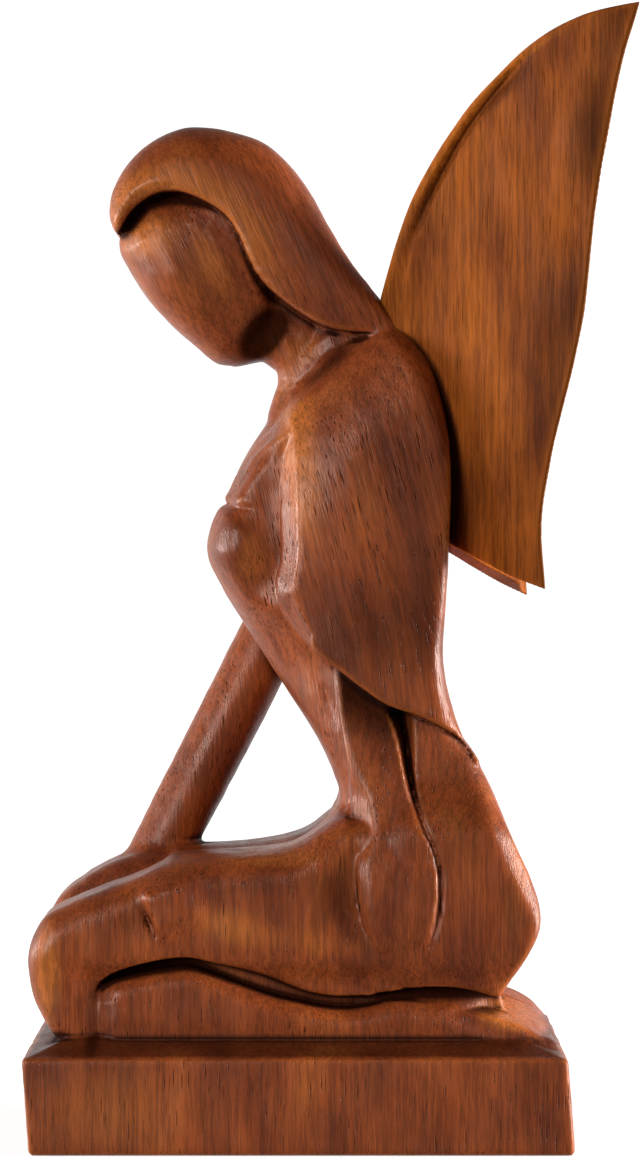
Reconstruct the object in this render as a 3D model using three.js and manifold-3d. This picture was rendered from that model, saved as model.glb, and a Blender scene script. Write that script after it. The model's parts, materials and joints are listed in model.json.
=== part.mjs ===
// A kneeling winged figure carved in wood, on its plinth. Millimetres, +Z up.
// The origin is in the middle of the plinth's underside.
// The figure faces -X, with its left side towards -Y.
// The figure and its plinth are one block. Each wing is a separate board, pinned to the back
// by two dowels, and pulls off along them.
import * as THREE from "three";
import { mergeVertices } from "three/addons/utils/BufferGeometryUtils.js";
import Module from "manifold-3d";

const wasm = await Module();
wasm.setup();

// ---- Driving dimensions ----

// The plinth is a board with a sloped margin all round its top. Its ends lean a little.
const plinth = { length: 146, depth: 89, edgeHeight: 25.8, margin: 10, rise: 3.6, lean: -0.05 };
const plinthTop = plinth.edgeHeight + plinth.rise;

// What stands on the plinth starts this far down inside it.
const sunkZ = plinthTop - 3;

// Half-widths across the body.
const hairHalf = 21.5;
const faceHalf = 17;
const neckHalf = 11;
const shawlHalf = 32;
const legHalf = 35;
const legCoreHalf = 31;
const soleHalf = 16;
const betweenThighs = 3;

// The supporting arm is a round limb from under the bust to the right thigh.
const arm = { radius: 8, y: 17, top: [-4, 140], bottom: [-40, 73], sides: 16 };

// The resting arm lies against the left hip, from this far in to the surface of the leg.
const restingArmInnerY = -15;

// The wings are boards that stand on the sloping back, with this line for their roots.
const wing = { thickness: 7, edge: 1.2, rootY: 14, rootLow: [41, 164], rootHigh: [23.5, 230] };

// Each wing has its angle out from the body's middle plane, and how far it tips outwards and sits lower.
const wingSettings = [
  { name: "wing_left", side: -1, angle: 40, tip: 0, drop: 0 },
  { name: "wing_right", side: 1, angle: 42, tip: 2, drop: 1.8 },
];
const fitGap = 0.35;

// Half of each dowel is in the wing, and half is in the back.
const dowel = { radius: 1.8, length: 22, centre: 2.4, heights: [12, 42], sides: 16 };
const hole = { radius: dowel.radius + 0.3, length: dowel.length + 2 };

// Cuts run right through the figure.
const throughLength = 200;
const edgeInset = 1;

// ---- Solids ----

// A closed three.js geometry as a manifold-3d solid.
function solidOf(geometry) {
  const bare = geometry.index ? geometry.toNonIndexed() : geometry.clone();
  bare.deleteAttribute("normal");
  bare.deleteAttribute("uv");
  const merged = mergeVertices(bare, 1e-4);
  return new wasm.Manifold(
    new wasm.Mesh({
      numProp: 3,
      vertProperties: merged.attributes.position.array,
      triVerts: new Uint32Array(merged.index.array),
    }),
  );
}

// A manifold-3d solid as a three.js geometry.
function geometryOf(solid) {
  const made = solid.getMesh();
  const geometry = new THREE.BufferGeometry();
  geometry.setAttribute("position", new THREE.BufferAttribute(made.vertProperties, 3));
  geometry.setIndex(new THREE.BufferAttribute(made.triVerts, 1));
  geometry.computeVertexNormals();
  return geometry;
}

const joined = (solids) => solids.reduce((whole, solid) => whole.add(solid));

// An outline of stretches end to end: two points make a straight one, and more make a smooth curve.
function outline(...stretches) {
  const shape = new THREE.Shape();
  stretches.forEach((points, index) => {
    const [first, ...rest] = points.map(([u, v]) => new THREE.Vector2(u, v));
    if (index === 0) shape.moveTo(first.x, first.y);
    if (rest.length > 1) shape.splineThru(rest);
    else shape.lineTo(rest[0].x, rest[0].y);
  });
  return shape;
}

// A flat outline given a thickness, about its own plane. Its long edges are eased over the stated depth.
function board(shape, thickness, ease) {
  return new THREE.ExtrudeGeometry(shape, {
    depth: thickness - 2 * ease,
    bevelEnabled: ease > 0,
    bevelThickness: ease,
    bevelSize: edgeInset,
    bevelOffset: -edgeInset,
    bevelSegments: 1,
    curveSegments: 2,
  }).translate(0, 0, ease - thickness / 2);
}

// A side view, as [x, z], given a width across the body from one y to another.
function acrossBody(shape, yLow, yHigh, ease = 0) {
  const geometry = board(shape, yHigh - yLow, ease);
  geometry.rotateX(Math.PI / 2);
  geometry.translate(0, (yLow + yHigh) / 2, 0);
  return solidOf(geometry);
}

// A front view, as [half-width, z] from the top down, run through from front to back.
function frontToBack(halfWidths) {
  const left = halfWidths.map(([half, z]) => [-half, z]);
  const right = [...halfWidths].reverse();
  const geometry = board(outline(left, [left.at(-1), right[0]], right), throughLength, 0);
  const acrossAxis = new THREE.Vector3(0, 1, 0);
  const upAxis = new THREE.Vector3(0, 0, 1);
  const alongAxis = new THREE.Vector3(1, 0, 0);
  const facing = new THREE.Matrix4().makeBasis(acrossAxis, upAxis, alongAxis);
  return solidOf(geometry.applyMatrix4(facing));
}

// A plan view: an oval about the middle of the body, run upwards through everything.
function ovalPlan(centreX, halfLength, halfWidth) {
  const oval = new THREE.Shape();
  oval.absellipse(centreX, 0, halfLength, halfWidth, 0, 2 * Math.PI);
  const upwards = { depth: 2 * throughLength, bevelEnabled: false, curveSegments: 12 };
  return solidOf(new THREE.ExtrudeGeometry(oval, upwards));
}

// ---- The plinth ----

function makePlinth() {
  const halfLength = plinth.length / 2;
  const halfDepth = plinth.depth / 2;
  const rectangle = outline(
    [[-halfLength, -halfDepth], [halfLength, -halfDepth]],
    [[halfLength, -halfDepth], [halfLength, halfDepth]],
    [[halfLength, halfDepth], [-halfLength, halfDepth]],
  );
  const blank = new THREE.ExtrudeGeometry(rectangle, {
    depth: 2 * plinth.edgeHeight,
    bevelThickness: plinth.rise,
    bevelSize: plinth.margin,
    bevelOffset: -plinth.margin,
    bevelSegments: 1,
  });
  blank.translate(0, 0, -1.5 * plinth.edgeHeight);
  blank.applyMatrix4(new THREE.Matrix4().makeShear(0, 0, 0, 0, plinth.lean, 0));
  blank.translate(0, 0, plinth.edgeHeight / 2);
  const below = new THREE.BoxGeometry(2 * plinth.length, 2 * plinth.depth, 2 * plinthTop);
  below.translate(0, 0, -plinthTop);
  return solidOf(blank).subtract(solidOf(below));
}

// ---- The legs ----

// The thighs lie on the calves, with a wavy gap between them along each side.
const underThigh = [
  [57, 44], [43.5, 44.5], [28, 44.5], [12.5, 41.5], [-2.5, 43.5],
  [-18, 49.5], [-33, 53], [-45, 51], [-54, 46.5],
];
const overCalf = [
  [-55, 42], [-45, 46.3], [-33, 48.2], [-18, 45], [-2, 39.5],
  [12, 37], [28, 39.5], [44, 39.5], [53, 34.5],
];
const legWidths = [[24, 86], [30, 81], [34, 73], [35, 62], [35, 30], [34, 25]];

function makeLegs() {
  const calves = outline(
    [[-56, sunkZ], overCalf[0]],
    overCalf,
    [overCalf.at(-1), [66, 31], [71, 28]],
    [[71, 28], [72.3, sunkZ]],
  );
  const soles = outline(
    [[40, sunkZ], [40, 42]],
    [[40, 42], [55, 39.5], [64, 35.8], [69.5, 32]],
    [[69.5, 32], [72.5, sunkZ]],
  );
  const leftThigh = outline(
    [[-64.5, sunkZ], [-70, 33.5], [-73.3, 41.5], [-74, 50], [-71.5, 59], [-66, 64.6]],
    [[-66, 64.6], [-53, 70.5], [-45.5, 74], [-40, 78.5], [-27, 79.8], [-8, 79], [3, 82.5], [12.5, 90]],
    [[12.5, 90], [50, 90]],
    [[50, 90], underThigh[0]],
    underThigh,
    [underThigh.at(-1), [-54.5, sunkZ]],
  );
  const rightThigh = outline(
    [[-62, sunkZ], [-68, 33.5], [-71.5, 44], [-72, 54], [-68.5, 63.5]],
    [[-68.5, 63.5], [-64, 68], [-56.5, 72], [-48, 76], [-36, 77.5], [-22, 78], [-5, 81], [11, 88]],
    [[11, 88], [50, 90]],
    [[50, 90], underThigh[0]],
    underThigh,
    [underThigh.at(-1), [-54.5, sunkZ]],
  );
  const core = outline(
    [[-60, sunkZ], [-62, 56]],
    [[-62, 56], [-45, 66], [0, 70], [55, 60]],
    [[55, 60], [57, sunkZ]],
  );
  const legs = joined([
    acrossBody(calves, -legHalf, legHalf, 3),
    acrossBody(soles, -soleHalf, soleHalf, 3),
    acrossBody(leftThigh, -legHalf, -betweenThighs / 2, 4),
    acrossBody(rightThigh, betweenThighs / 2, legHalf, 4),
    acrossBody(core, -legCoreHalf, legCoreHalf),
  ]);
  return legs.intersect(frontToBack(legWidths));
}

// ---- The trunk ----

const nape = [23.5, 232.5];
const chest = [-20.5, 178];
const bodyWidths = [
  [9, 233], [15, 222], [23, 208], [25, 185], [23.5, 163], [20, 142], [19, 125],
  [21.5, 109], [28, 94], [33.5, 78], [35.5, 62], [34, 48], [32, 42],
];

// A shawl covers the shoulders and upper arms, and its hem slants down to the small of the back.
const shawlWidths = [
  [10, 234], [19, 226], [27, 214], [30.5, 197], [31, 172], [29, 145], [27.5, 122], [28, 104],
];

function makeTrunk() {
  const bustAndBelly = [
    chest, [-25, 169.5], [-26, 162], [-23, 153], [-15, 142],
    [-5, 125.5], [5, 110.5], [11, 97], [10.5, 87],
  ];
  const seatToNape = [
    [58, 43], [63.5, 53], [65.3, 63], [60.8, 79], [53, 95], [44, 114], [39.8, 131.5],
    [40.5, 160], [41.5, 182], [39, 206], [32.5, 221], nape,
  ];
  const bodySide = outline(
    [[-4, 212], [-10.5, 199], [-15, 189.5], chest],
    bustAndBelly,
    [bustAndBelly.at(-1), [2, 60]],
    [[2, 60], [10, 44]],
    [[10, 44], seatToNape[0]],
    seatToNape,
    [nape, [8, 230]],
  );
  const shawlSide = outline(
    [[-3, 208], [-7.5, 194], [-5.5, 182], [-5.5, 163], [-7.5, 149]],
    [[-7.5, 149], [4.5, 135.5], [18, 124.5], [33, 118], [46, 107.5]],
    [[46, 107.5], [40.5, 126], [40, 150], [41.5, 182], [39, 206], [32.5, 221], nape],
    [nape, [8, 223], [-3, 208]],
  );
  const body = acrossBody(bodySide, -legHalf - 1, legHalf + 1).intersect(frontToBack(bodyWidths));
  const shawl = acrossBody(shawlSide, -shawlHalf, shawlHalf).intersect(frontToBack(shawlWidths));
  return body.add(shawl);
}

// ---- The arms ----

function makeArms() {
  const elbowToHand = outline(
    [[12.5, 130], [15, 113], [20, 97], [19.5, 84], [17, 74], [18, 63], [22.5, 53]],
    [[22.5, 53], [29, 50.5], [35, 54.5]],
    [[35, 54.5], [38.5, 66], [38, 77], [33, 86], [29, 100], [26.5, 116], [26, 130]],
  );
  const resting = acrossBody(elbowToHand, -legHalf - 1, restingArmInnerY, 4);
  const from = new THREE.Vector3(arm.top[0], arm.y, arm.top[1]);
  const to = new THREE.Vector3(arm.bottom[0], arm.y, arm.bottom[1]);
  const limb = new THREE.CylinderGeometry(arm.radius, arm.radius, from.distanceTo(to), arm.sides);
  limb.rotateX(Math.PI / 2);
  limb.lookAt(to.clone().sub(from));
  limb.translate(...from.add(to).multiplyScalar(0.5).toArray());
  return resting.add(solidOf(limb));
}

// ---- The head ----

const hairWidths = [
  [6, 281], [12, 279], [17, 274.5], [20, 267], [21.5, 256], [21.5, 240], [20, 226], [18, 210],
];

function makeHead() {
  const crown = [[3.5, 262.5], [-8, 275.5], [-26, 280.7], [-44.5, 274], [-53, 259], [-51, 247]];
  const hair = outline(
    [nape, [14, 243], ...crown],
    [crown.at(-1), [-39, 258], [-26, 256], [-14, 243], [0, 226], [14, 220]],
    [[14, 220], [30, 214]],
  );
  const faceFront = [[-47, 258], [-49.5, 245], [-36.5, 226], [-24.5, 215], [-14, 214.5], [-5, 222]];
  const face = outline(
    [[-8, 262], [-30, 270], ...faceFront, [0, 236]],
    [[0, 236], [-8, 262]],
  );
  const neck = outline(
    [[-8, 236], [-12, 222]],
    [[-12, 222], [-5, 209], [-8, 198]],
    [[-8, 198], [20, 200]],
    [[20, 200], [22, 232]],
  );
  return joined([
    acrossBody(hair, -hairHalf, hairHalf, 3).intersect(frontToBack(hairWidths)),
    acrossBody(face, -faceHalf, faceHalf, 3).intersect(ovalPlan(-22, 32, 20)),
    acrossBody(neck, -neckHalf, neckHalf, 3),
  ]);
}

// ---- The wings ----

// A wing's frame: x runs outwards from the back, y up the board, and z through its thickness.
function wingFrame({ side, angle: degrees, tip, drop }) {
  const angle = THREE.MathUtils.degToRad(degrees);
  const low = new THREE.Vector3(wing.rootLow[0], side * wing.rootY, wing.rootLow[1]);
  const high = new THREE.Vector3(wing.rootHigh[0], side * wing.rootY, wing.rootHigh[1]);
  const outwards = new THREE.Vector3(Math.cos(angle), side * Math.sin(angle), 0);
  const up = high.sub(low);
  up.addScaledVector(outwards, -up.dot(outwards)).normalize();
  const through = new THREE.Vector3().crossVectors(outwards, up);
  const frame = new THREE.Matrix4().makeBasis(outwards, up, through);
  frame.setPosition(low.x, low.y, low.z - drop);
  return frame.multiply(new THREE.Matrix4().makeRotationZ(-THREE.MathUtils.degToRad(tip)));
}

// The root's straight stretches reach into the back, where the cut for it takes them off.
const wingTip = [80, 141.3];
const wingHeel = [30.8, -11.4];
const wingOutline = outline(
  [[-24, 68], [-12.9, 67.9]],
  [[-12.9, 67.9], [-2.6, 88.8], [9.2, 104.5], [24.4, 119.4], [44.4, 133], [62, 139.6], wingTip],
  [wingTip, [71.6, 125], [60.8, 93.2], [51.6, 58.5], [38.2, 25.8], [32, 6], wingHeel],
  [wingHeel, [17, -6], [0.7, 1.2], [-14, 7.5]],
);

// A rod lying along x in the wing's frame.
function rodGeometry(radius, length) {
  return new THREE.CylinderGeometry(radius, radius, length, dowel.sides).rotateZ(Math.PI / 2);
}

const dowelHoles = dowel.heights.map((height) =>
  rodGeometry(hole.radius, hole.length).translate(dowel.centre, height, 0),
);

// The board's root is cut to the shape of the back, with a gap on every side of it.
function makeWing(frame, carving) {
  let plate = solidOf(board(wingOutline, wing.thickness, wing.edge));
  const back = geometryOf(carving).applyMatrix4(frame.clone().invert());
  for (const aside of [-fitGap, 0, fitGap]) {
    plate = plate.subtract(solidOf(back.clone().translate(fitGap, 0, aside)));
  }
  for (const drilling of dowelHoles) {
    plate = plate.subtract(solidOf(drilling));
  }
  const [largest] = plate.decompose().sort((one, other) => other.volume() - one.volume());
  return largest;
}

// ---- The assembly ----

const figureWood = new THREE.MeshStandardMaterial({ color: 0x7a3b1e, roughness: 0.42, metalness: 0 });
const wingWood = new THREE.MeshStandardMaterial({ color: 0x8f4a1c, roughness: 0.4, metalness: 0 });
const dowelWood = new THREE.MeshStandardMaterial({ color: 0xb98a58, roughness: 0.6, metalness: 0 });

function namedMesh(name, geometry, material) {
  const mesh = new THREE.Mesh(geometry, material);
  mesh.name = name;
  return mesh;
}

const figurine = new THREE.Group();
const carving = joined([makePlinth(), makeLegs(), makeTrunk(), makeArms(), makeHead()]);
let drilledCarving = carving;

for (const setting of wingSettings) {
  const frame = wingFrame(setting);
  const holder = new THREE.Group();
  holder.applyMatrix4(frame);
  holder.add(namedMesh(setting.name, geometryOf(makeWing(frame, carving)), wingWood));
  ["lower", "upper"].forEach((place, index) => {
    const rod = rodGeometry(dowel.radius, dowel.length);
    const pin = namedMesh(`${setting.name}_dowel_${place}`, rod, dowelWood);
    pin.position.set(dowel.centre, dowel.heights[index], 0);
    holder.add(pin);
  });
  for (const drilling of dowelHoles) {
    drilledCarving = drilledCarving.subtract(solidOf(drilling.clone().applyMatrix4(frame)));
  }
  figurine.add(holder);
}
figurine.add(namedMesh("figure", geometryOf(drilledCarving), figureWood));

export default figurine;
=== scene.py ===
# A kneeling winged figure carved in wood, on its plinth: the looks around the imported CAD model.
# The carving is sculpted as a distance field in millimetres, then given a skin of small faces.
# The figure faces -X, its left side is towards -Y, and +Z is up.
import json
import math

import bpy
import numpy as np
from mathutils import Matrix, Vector


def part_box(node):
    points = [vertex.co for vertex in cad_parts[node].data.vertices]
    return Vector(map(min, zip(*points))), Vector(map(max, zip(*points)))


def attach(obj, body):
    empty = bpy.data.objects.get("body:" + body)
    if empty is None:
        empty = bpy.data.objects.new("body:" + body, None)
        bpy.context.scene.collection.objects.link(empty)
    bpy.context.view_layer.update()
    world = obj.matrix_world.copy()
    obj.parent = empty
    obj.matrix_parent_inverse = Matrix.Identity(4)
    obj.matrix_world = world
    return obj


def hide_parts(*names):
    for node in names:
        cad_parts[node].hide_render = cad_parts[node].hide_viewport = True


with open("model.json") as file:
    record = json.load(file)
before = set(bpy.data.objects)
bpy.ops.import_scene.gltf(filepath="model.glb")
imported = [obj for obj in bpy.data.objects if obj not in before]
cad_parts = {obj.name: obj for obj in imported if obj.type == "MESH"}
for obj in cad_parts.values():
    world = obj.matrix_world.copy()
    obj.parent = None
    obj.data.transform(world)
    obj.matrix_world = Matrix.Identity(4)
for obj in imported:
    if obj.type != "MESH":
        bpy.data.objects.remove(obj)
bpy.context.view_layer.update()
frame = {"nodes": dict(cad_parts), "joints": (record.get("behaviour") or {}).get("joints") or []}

MM = 0.001

# ---- Driving dimensions, in millimetres ----

CARVING_STEP = 0.8
GRID_MARGIN = 3
WING_STEP = 0.55

figure_low, figure_high = (np.array(corner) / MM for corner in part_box("figure"))
PLINTH_DEPTH = figure_high[1] - figure_low[1]
PLINTH_LENGTH = 146.8
PLINTH_EDGE = 25.8
PLINTH_MARGIN = 10.0
PLINTH_RISE = 3.6
PLINTH_LEAN = -0.07
PLINTH_TOP = PLINTH_EDGE + PLINTH_RISE
SUNK = 20.0
FAR_AWAY = 150.0

WING_THICKNESS = 7.0
WING_EDGE = 1.3
WING_THIN_EDGE = 1.0
ROOT_EDGE = 0.5
WING_BLOCK = ((-27, -14.5, -5.2), (85, 144.8, 5.2))
FIT_GAP = 0.12
DOWEL_SPACING = 30.0
DOWEL_INSET = (2.4, 12.0)
HOLE_RADIUS = 2.1
HOLE_DEPTH = 12.0

# ---- Studio light and camera ----

BACKDROP_LIGHT = 1.0
CAMERA_SIDE_LIGHT = 0.2
OVERHEAD_SHARE = 0.14

# The place is in metres, the lens and sensor in millimetres, and the shift is a share of the sensor.
CAMERA_PLACE = (0.0058, -1.010, 0.1696)
LENS = 111.1342
SENSOR = 36.0
SHIFT_DOWN = 0.0509854


# ---- Grids and distances ----


class Grid:
    """A block of sample points, with a coordinate array for each axis."""

    def __init__(self, low, high, step):
        self.low = np.array(low, np.float32)
        self.step = step
        counts = np.ceil((np.array(high) - self.low) / step).astype(int) + 1
        ticks = [start + step * np.arange(n, dtype=np.float32) for start, n in zip(self.low, counts)]
        self.x = ticks[0][:, None, None]
        self.y = ticks[1][None, :, None]
        self.z = ticks[2][None, None, :]


def smooth(points, samples=8):
    """A smooth curve through the points, as a list of closer points."""
    ends = [2 * np.array(points[0]) - points[1], 2 * np.array(points[-1]) - points[-2]]
    knots = np.array([ends[0], *points, ends[1]], float)
    t = np.linspace(0, 1, samples, endpoint=False)[:, None]
    made = []
    for a, b, c, d in zip(knots, knots[1:], knots[2:], knots[3:]):
        made.append(b + 0.5 * t * (c - a + t * (2 * a - 5 * b + 4 * c - d + t * (3 * (b - c) + d - a))))
    return [tuple(p) for p in np.concatenate(made)] + [tuple(points[-1])]


def side_of(outline, u, v):
    """Signed distance from a closed outline in a plane, below zero inside it."""
    points = np.array(outline, np.float32)
    nearest = np.full(np.broadcast_shapes(u.shape, v.shape), np.inf, np.float32)
    inside = np.zeros(nearest.shape, bool)
    for a, b in zip(points, np.roll(points, -1, axis=0)):
        run = b - a
        length2 = max(float(run @ run), 1e-9)
        t = np.clip(((u - a[0]) * run[0] + (v - a[1]) * run[1]) / length2, 0, 1)
        nearest = np.minimum(nearest, (u - a[0] - t * run[0]) ** 2 + (v - a[1] - t * run[1]) ** 2)
        if a[1] != b[1]:
            inside ^= ((a[1] > v) != (b[1] > v)) & (u < a[0] + (v - a[1]) * run[0] / run[1])
    distance = np.sqrt(nearest)
    return np.where(inside, -distance, distance)


def along_line(line, u, v):
    """Distance from an open line in a plane, and how far along it the nearest point is, from 0 to 1."""
    points = np.array(line, np.float32)
    lengths = np.linalg.norm(np.diff(points, axis=0), axis=1)
    starts = np.concatenate([[0], np.cumsum(lengths)])
    nearest = np.full(np.broadcast_shapes(u.shape, v.shape), np.inf, np.float32)
    share = np.zeros(nearest.shape, np.float32)
    for a, b, start, length in zip(points, points[1:], starts, lengths):
        run = b - a
        t = np.clip(((u - a[0]) * run[0] + (v - a[1]) * run[1]) / length**2, 0, 1)
        distance = (u - a[0] - t * run[0]) ** 2 + (v - a[1] - t * run[1]) ** 2
        closer = distance < nearest
        nearest = np.where(closer, distance, nearest)
        share = np.where(closer, (start + t * length) / starts[-1], share)
    return np.sqrt(nearest), share


def rounded(a, b, radius):
    """What is inside both fields, with the edge between them rounded over."""
    corner = np.sqrt(np.maximum(a + radius, 0) ** 2 + np.maximum(b + radius, 0) ** 2)
    return np.minimum(np.maximum(a, b), -radius) + corner


def soft_bevelled(a, b, size, softness):
    """What is inside both fields, with the edge between them cut off and its two new edges eased."""
    cut = (a + b + size) * math.sqrt(0.5)
    return rounded(rounded(a, cut, softness), b, softness)


def blended(a, b, radius):
    """What is inside either field, with a fillet between them."""
    corner = np.sqrt(np.maximum(radius - a, 0) ** 2 + np.maximum(radius - b, 0) ** 2)
    return np.maximum(np.minimum(a, b), radius) - corner


def ramp(value, start, end):
    """Rises smoothly from 0 at start to 1 at end."""
    t = np.clip((value - start) / (end - start), 0, 1)
    return t * t * (3 - 2 * t)


def table(value, pairs):
    """A value read off a smooth curve through (where, what) pairs."""
    curve = np.array(smooth(sorted(pairs)))
    return np.interp(value, curve[:, 0], curve[:, 1]).astype(np.float32)


# ---- The carving's field ----

grid = Grid(figure_low - GRID_MARGIN, figure_high + GRID_MARGIN, CARVING_STEP)
X, Y, Z = grid.x, grid.y, grid.z
WIDE = np.abs(Y)
NEAR = ramp(-Y, 3, 9)
FAR = ramp(Y, 3, 9)
side_u, side_v = X[:, :, 0], Z[0]


def side(*stretches):
    """Signed distance from an outline in the side view. Its stretches are joined end to end."""
    return side_of([point for stretch in stretches for point in stretch], side_u, side_v)[:, None, :]


def walls(half_width, centre=0.0):
    """Signed distance from a pair of walls whose half-width may change over the side view."""
    half_width = np.asarray(half_width, np.float32)
    steep = 1.0
    if half_width.ndim:
        flat = np.broadcast_to(half_width, (X.size, 1, Z.size))[:, 0, :]
        slopes = np.gradient(flat, CARVING_STEP)
        steep = np.sqrt(1 + slopes[0] ** 2 + slopes[1] ** 2)[:, None, :]
        half_width = flat[:, None, :]
    return (np.abs(Y - centre) - half_width) / steep


def groove(line, half_widths, depths):
    """A V groove along a line in the side view. Its half-width and depth change from start to end."""
    distance, share = along_line(line, side_u, side_v)
    stops = np.linspace(0, 1, len(depths))
    half = np.interp(share, stops, half_widths)
    depth = np.interp(share, stops, depths)
    return (depth * np.clip(1 - distance / half, 0, None)).astype(np.float32)[:, None, :]


def step_up(line, rise, reach):
    """A step up from the left of a line in the side view to its right. It fades away from the line."""
    points = np.array(line, float)
    run = (points[-1] - points[0]) / np.linalg.norm(points[-1] - points[0])
    du, dv = side_u - points[0][0], side_v - points[0][1]
    across = -(du * run[1] - dv * run[0])
    distance, share = along_line(line, side_u, side_v)
    ends = ramp(distance - np.abs(across), 2.5, 0.5) * ramp(share, 0, 0.25) * ramp(share, 1, 0.6)
    height = ramp(across, -rise, rise) * ramp(across, reach + 9, reach)
    return (height * ends).astype(np.float32)[:, None, :]


# Lines of the side view, as (x, z).
BACK = smooth([
    (22.5, 232), (28, 226.5), (36, 213.6), (40.3, 197), (41.5, 183), (41, 165), (40.2, 148),
    (39.6, 131.5), (43.5, 114.5), (49.5, 104.5), (57.5, 86), (64.3, 70), (65.6, 61), (62.5, 53),
    (56, 43), (52, 36),
])
THROAT = [(-18, 214.4), (-10.2, 215.2), (-8.2, 214.3), (-6.1, 212.2), (-5.4, 210), (-6.1, 207.6)]
CHEST = smooth([(-2, 216), (-5.3, 210.5), (-6.1, 207.6), (-9.7, 199.3), (-17, 184.7), (-21.1, 177.2)])
BUST = smooth([
    (-20.8, 175.6), (-23.0, 173.6), (-25.2, 168.9), (-26.3, 163.6), (-25.7, 159), (-23.6, 154.6),
    (-19.4, 148), (-15.4, 142),
])
BELLY = smooth([(-15.4, 142), (-5, 125.5), (5, 110.5), (10.8, 97), (10.2, 88)])
SHOULDER_LINE = [(-80, 145), (-15, 196), (-4.1, 205.6), (7, 214.5), (17.9, 222.9), (31, 234)]
COLLAR = smooth([(16.6, 221.3), (8.8, 218), (3.8, 213), (-1.3, 208), (-4.6, 203.5), (-8.4, 193.2),
                 (-18.8, 176.8)])
SHAWL_FRONT = smooth([
    (-3.5, 207), (-6.4, 198), (-6.6, 191), (-5.6, 181), (-5, 168), (-4.8, 162.5), (-5.7, 157.4),
    (-7.8, 150.2),
])
HEM = smooth([
    (-7.8, 150.2), (-3.2, 143.6), (0.5, 138.9), (5.2, 133.9), (10.6, 129.9), (17.1, 124.8),
    (24.4, 120.1), (33.2, 117), (41.2, 112.8), (45.6, 108.8), (48.4, 103.5),
])
ABOVE_HEM = [(-40, 240), (-40, 150.2), *HEM, (56, 96), (FAR_AWAY, 96), (FAR_AWAY, 240)]
UNDER_THIGH = smooth([
    (56, 40.5), (46, 43.3), (38, 43.9), (29, 43.5), (20.3, 41.7), (13.7, 41.3), (6.2, 41.7),
    (-0.4, 43.4), (-10.8, 47.5), (-24.4, 51), (-32, 52.1), (-42.8, 50.2), (-50.8, 47.4), (-56, 43),
])
OVER_CALF = smooth([
    (-60, 38), (-53.5, 44.2), (-42.8, 47.4), (-35, 48.7), (-28, 48.8), (-16, 44.2), (-8.7, 41.6),
    (-0.4, 39.6), (7.1, 38), (14.1, 37.8), (20.3, 38.8), (26, 40.4), (37, 39.3), (45.4, 36.6),
    (51.6, 34.4), (60.9, 32.4), (65.6, 30.9), (69.3, 29.2), (70.8, 27),
])
LEFT_KNEE = smooth([
    (-64, 28), (-67.4, 31.4), (-70.1, 35.9), (-72.4, 41.2), (-73.6, 48), (-73.4, 54), (-70.6, 60.6),
    (-67.3, 63.9), (-60, 67.3),
])
LEFT_THIGH = smooth([
    (-60, 67.3), (-51.7, 70.5), (-47, 72.1), (-42.5, 74), (-37.5, 76.4), (-31, 78), (-19, 78.6),
    (-8, 79.4), (0.5, 81.5), (12, 90),
])
RIGHT_KNEE = smooth([(-62.5, 28), (-68, 34), (-71.5, 44), (-72, 54), (-68.5, 63.5), (-60, 70.5)])
RIGHT_THIGH = smooth([(-60, 70.5), (-50.5, 75), (-42, 76.8), (-28.5, 77.2), (-15.5, 77.9), (-5, 79.6),
                      (3, 82.2), (11, 88)])
CROWN = smooth([
    (30, 223), (22.3, 231.8), (14, 242.4), (8.5, 251.8), (3, 261.8), (-2.6, 269), (-8.5, 274.6),
    (-14.5, 277.5), (-24, 279.8), (-33.5, 279.3), (-44, 273.4), (-51, 264), (-52.7, 256),
    (-51.2, 250.5), (-49.4, 245.5),
])
HAIR_EDGE = smooth([
    (-52, 244.5), (-49.6, 251), (-45.5, 257), (-39.3, 260.8), (-32.8, 261.2), (-26.4, 258.8),
    (-20.8, 255.2), (-16.9, 250), (-13.2, 241.7), (-10, 236.7), (-5.3, 232.2), (-0.6, 228.6),
    (5, 225.3), (10.5, 223.5), (18, 222.4),
])
ABOVE_HAIR_EDGE = [(-80, 247), *HAIR_EDGE, (34, 218), (FAR_AWAY, 218), (FAR_AWAY, 300), (-80, 300)]
FACE_FRONT = smooth([
    (-44, 262), (-49, 254), (-50.2, 247), (-48, 241.5), (-42, 232), (-36.5, 226), (-30.5, 220.5),
    (-24, 215.2), (-20.5, 214),
])
JAW = smooth([(-20.5, 214), (-15.5, 214.8), (-10.5, 218.8), (-7.6, 225), (-6.8, 232), (-8, 240)])
ARM_FRONT = smooth([
    (9.5, 132), (11, 118), (12.6, 108.4), (13.9, 97.5), (14.9, 86), (15.3, 76), (16.6, 64.5),
    (18.3, 58.3), (22, 52.8),
])
HAND_END = [(22, 52.8), (24.8, 52.1), (29.4, 52.4), (33.2, 53.4)]
ARM_BACK = smooth([
    (24.6, 130), (25.4, 118.6), (27.2, 111.4), (29.4, 99.7), (32.3, 88.9), (36.7, 80.1), (37.9, 75.5),
    (37.8, 69.2), (37, 62), (35.2, 55.4), (33.2, 53.4),
])


def plinth_field():
    lean = PLINTH_LEAN * (Z - PLINTH_EDGE / 2)
    across = np.abs(X - lean) - PLINTH_LENGTH / 2
    deep = WIDE - PLINTH_DEPTH / 2
    slope = math.hypot(PLINTH_RISE, PLINTH_MARGIN)
    roofs = [(wall * PLINTH_RISE + (Z - PLINTH_EDGE) * PLINTH_MARGIN) / slope for wall in (across, deep)]
    sides = rounded(across, deep, 1.2)
    standing = rounded(sides, -Z, 1.6)
    return rounded(standing, np.maximum(roofs[0], roofs[1]), 0.5)


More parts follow.
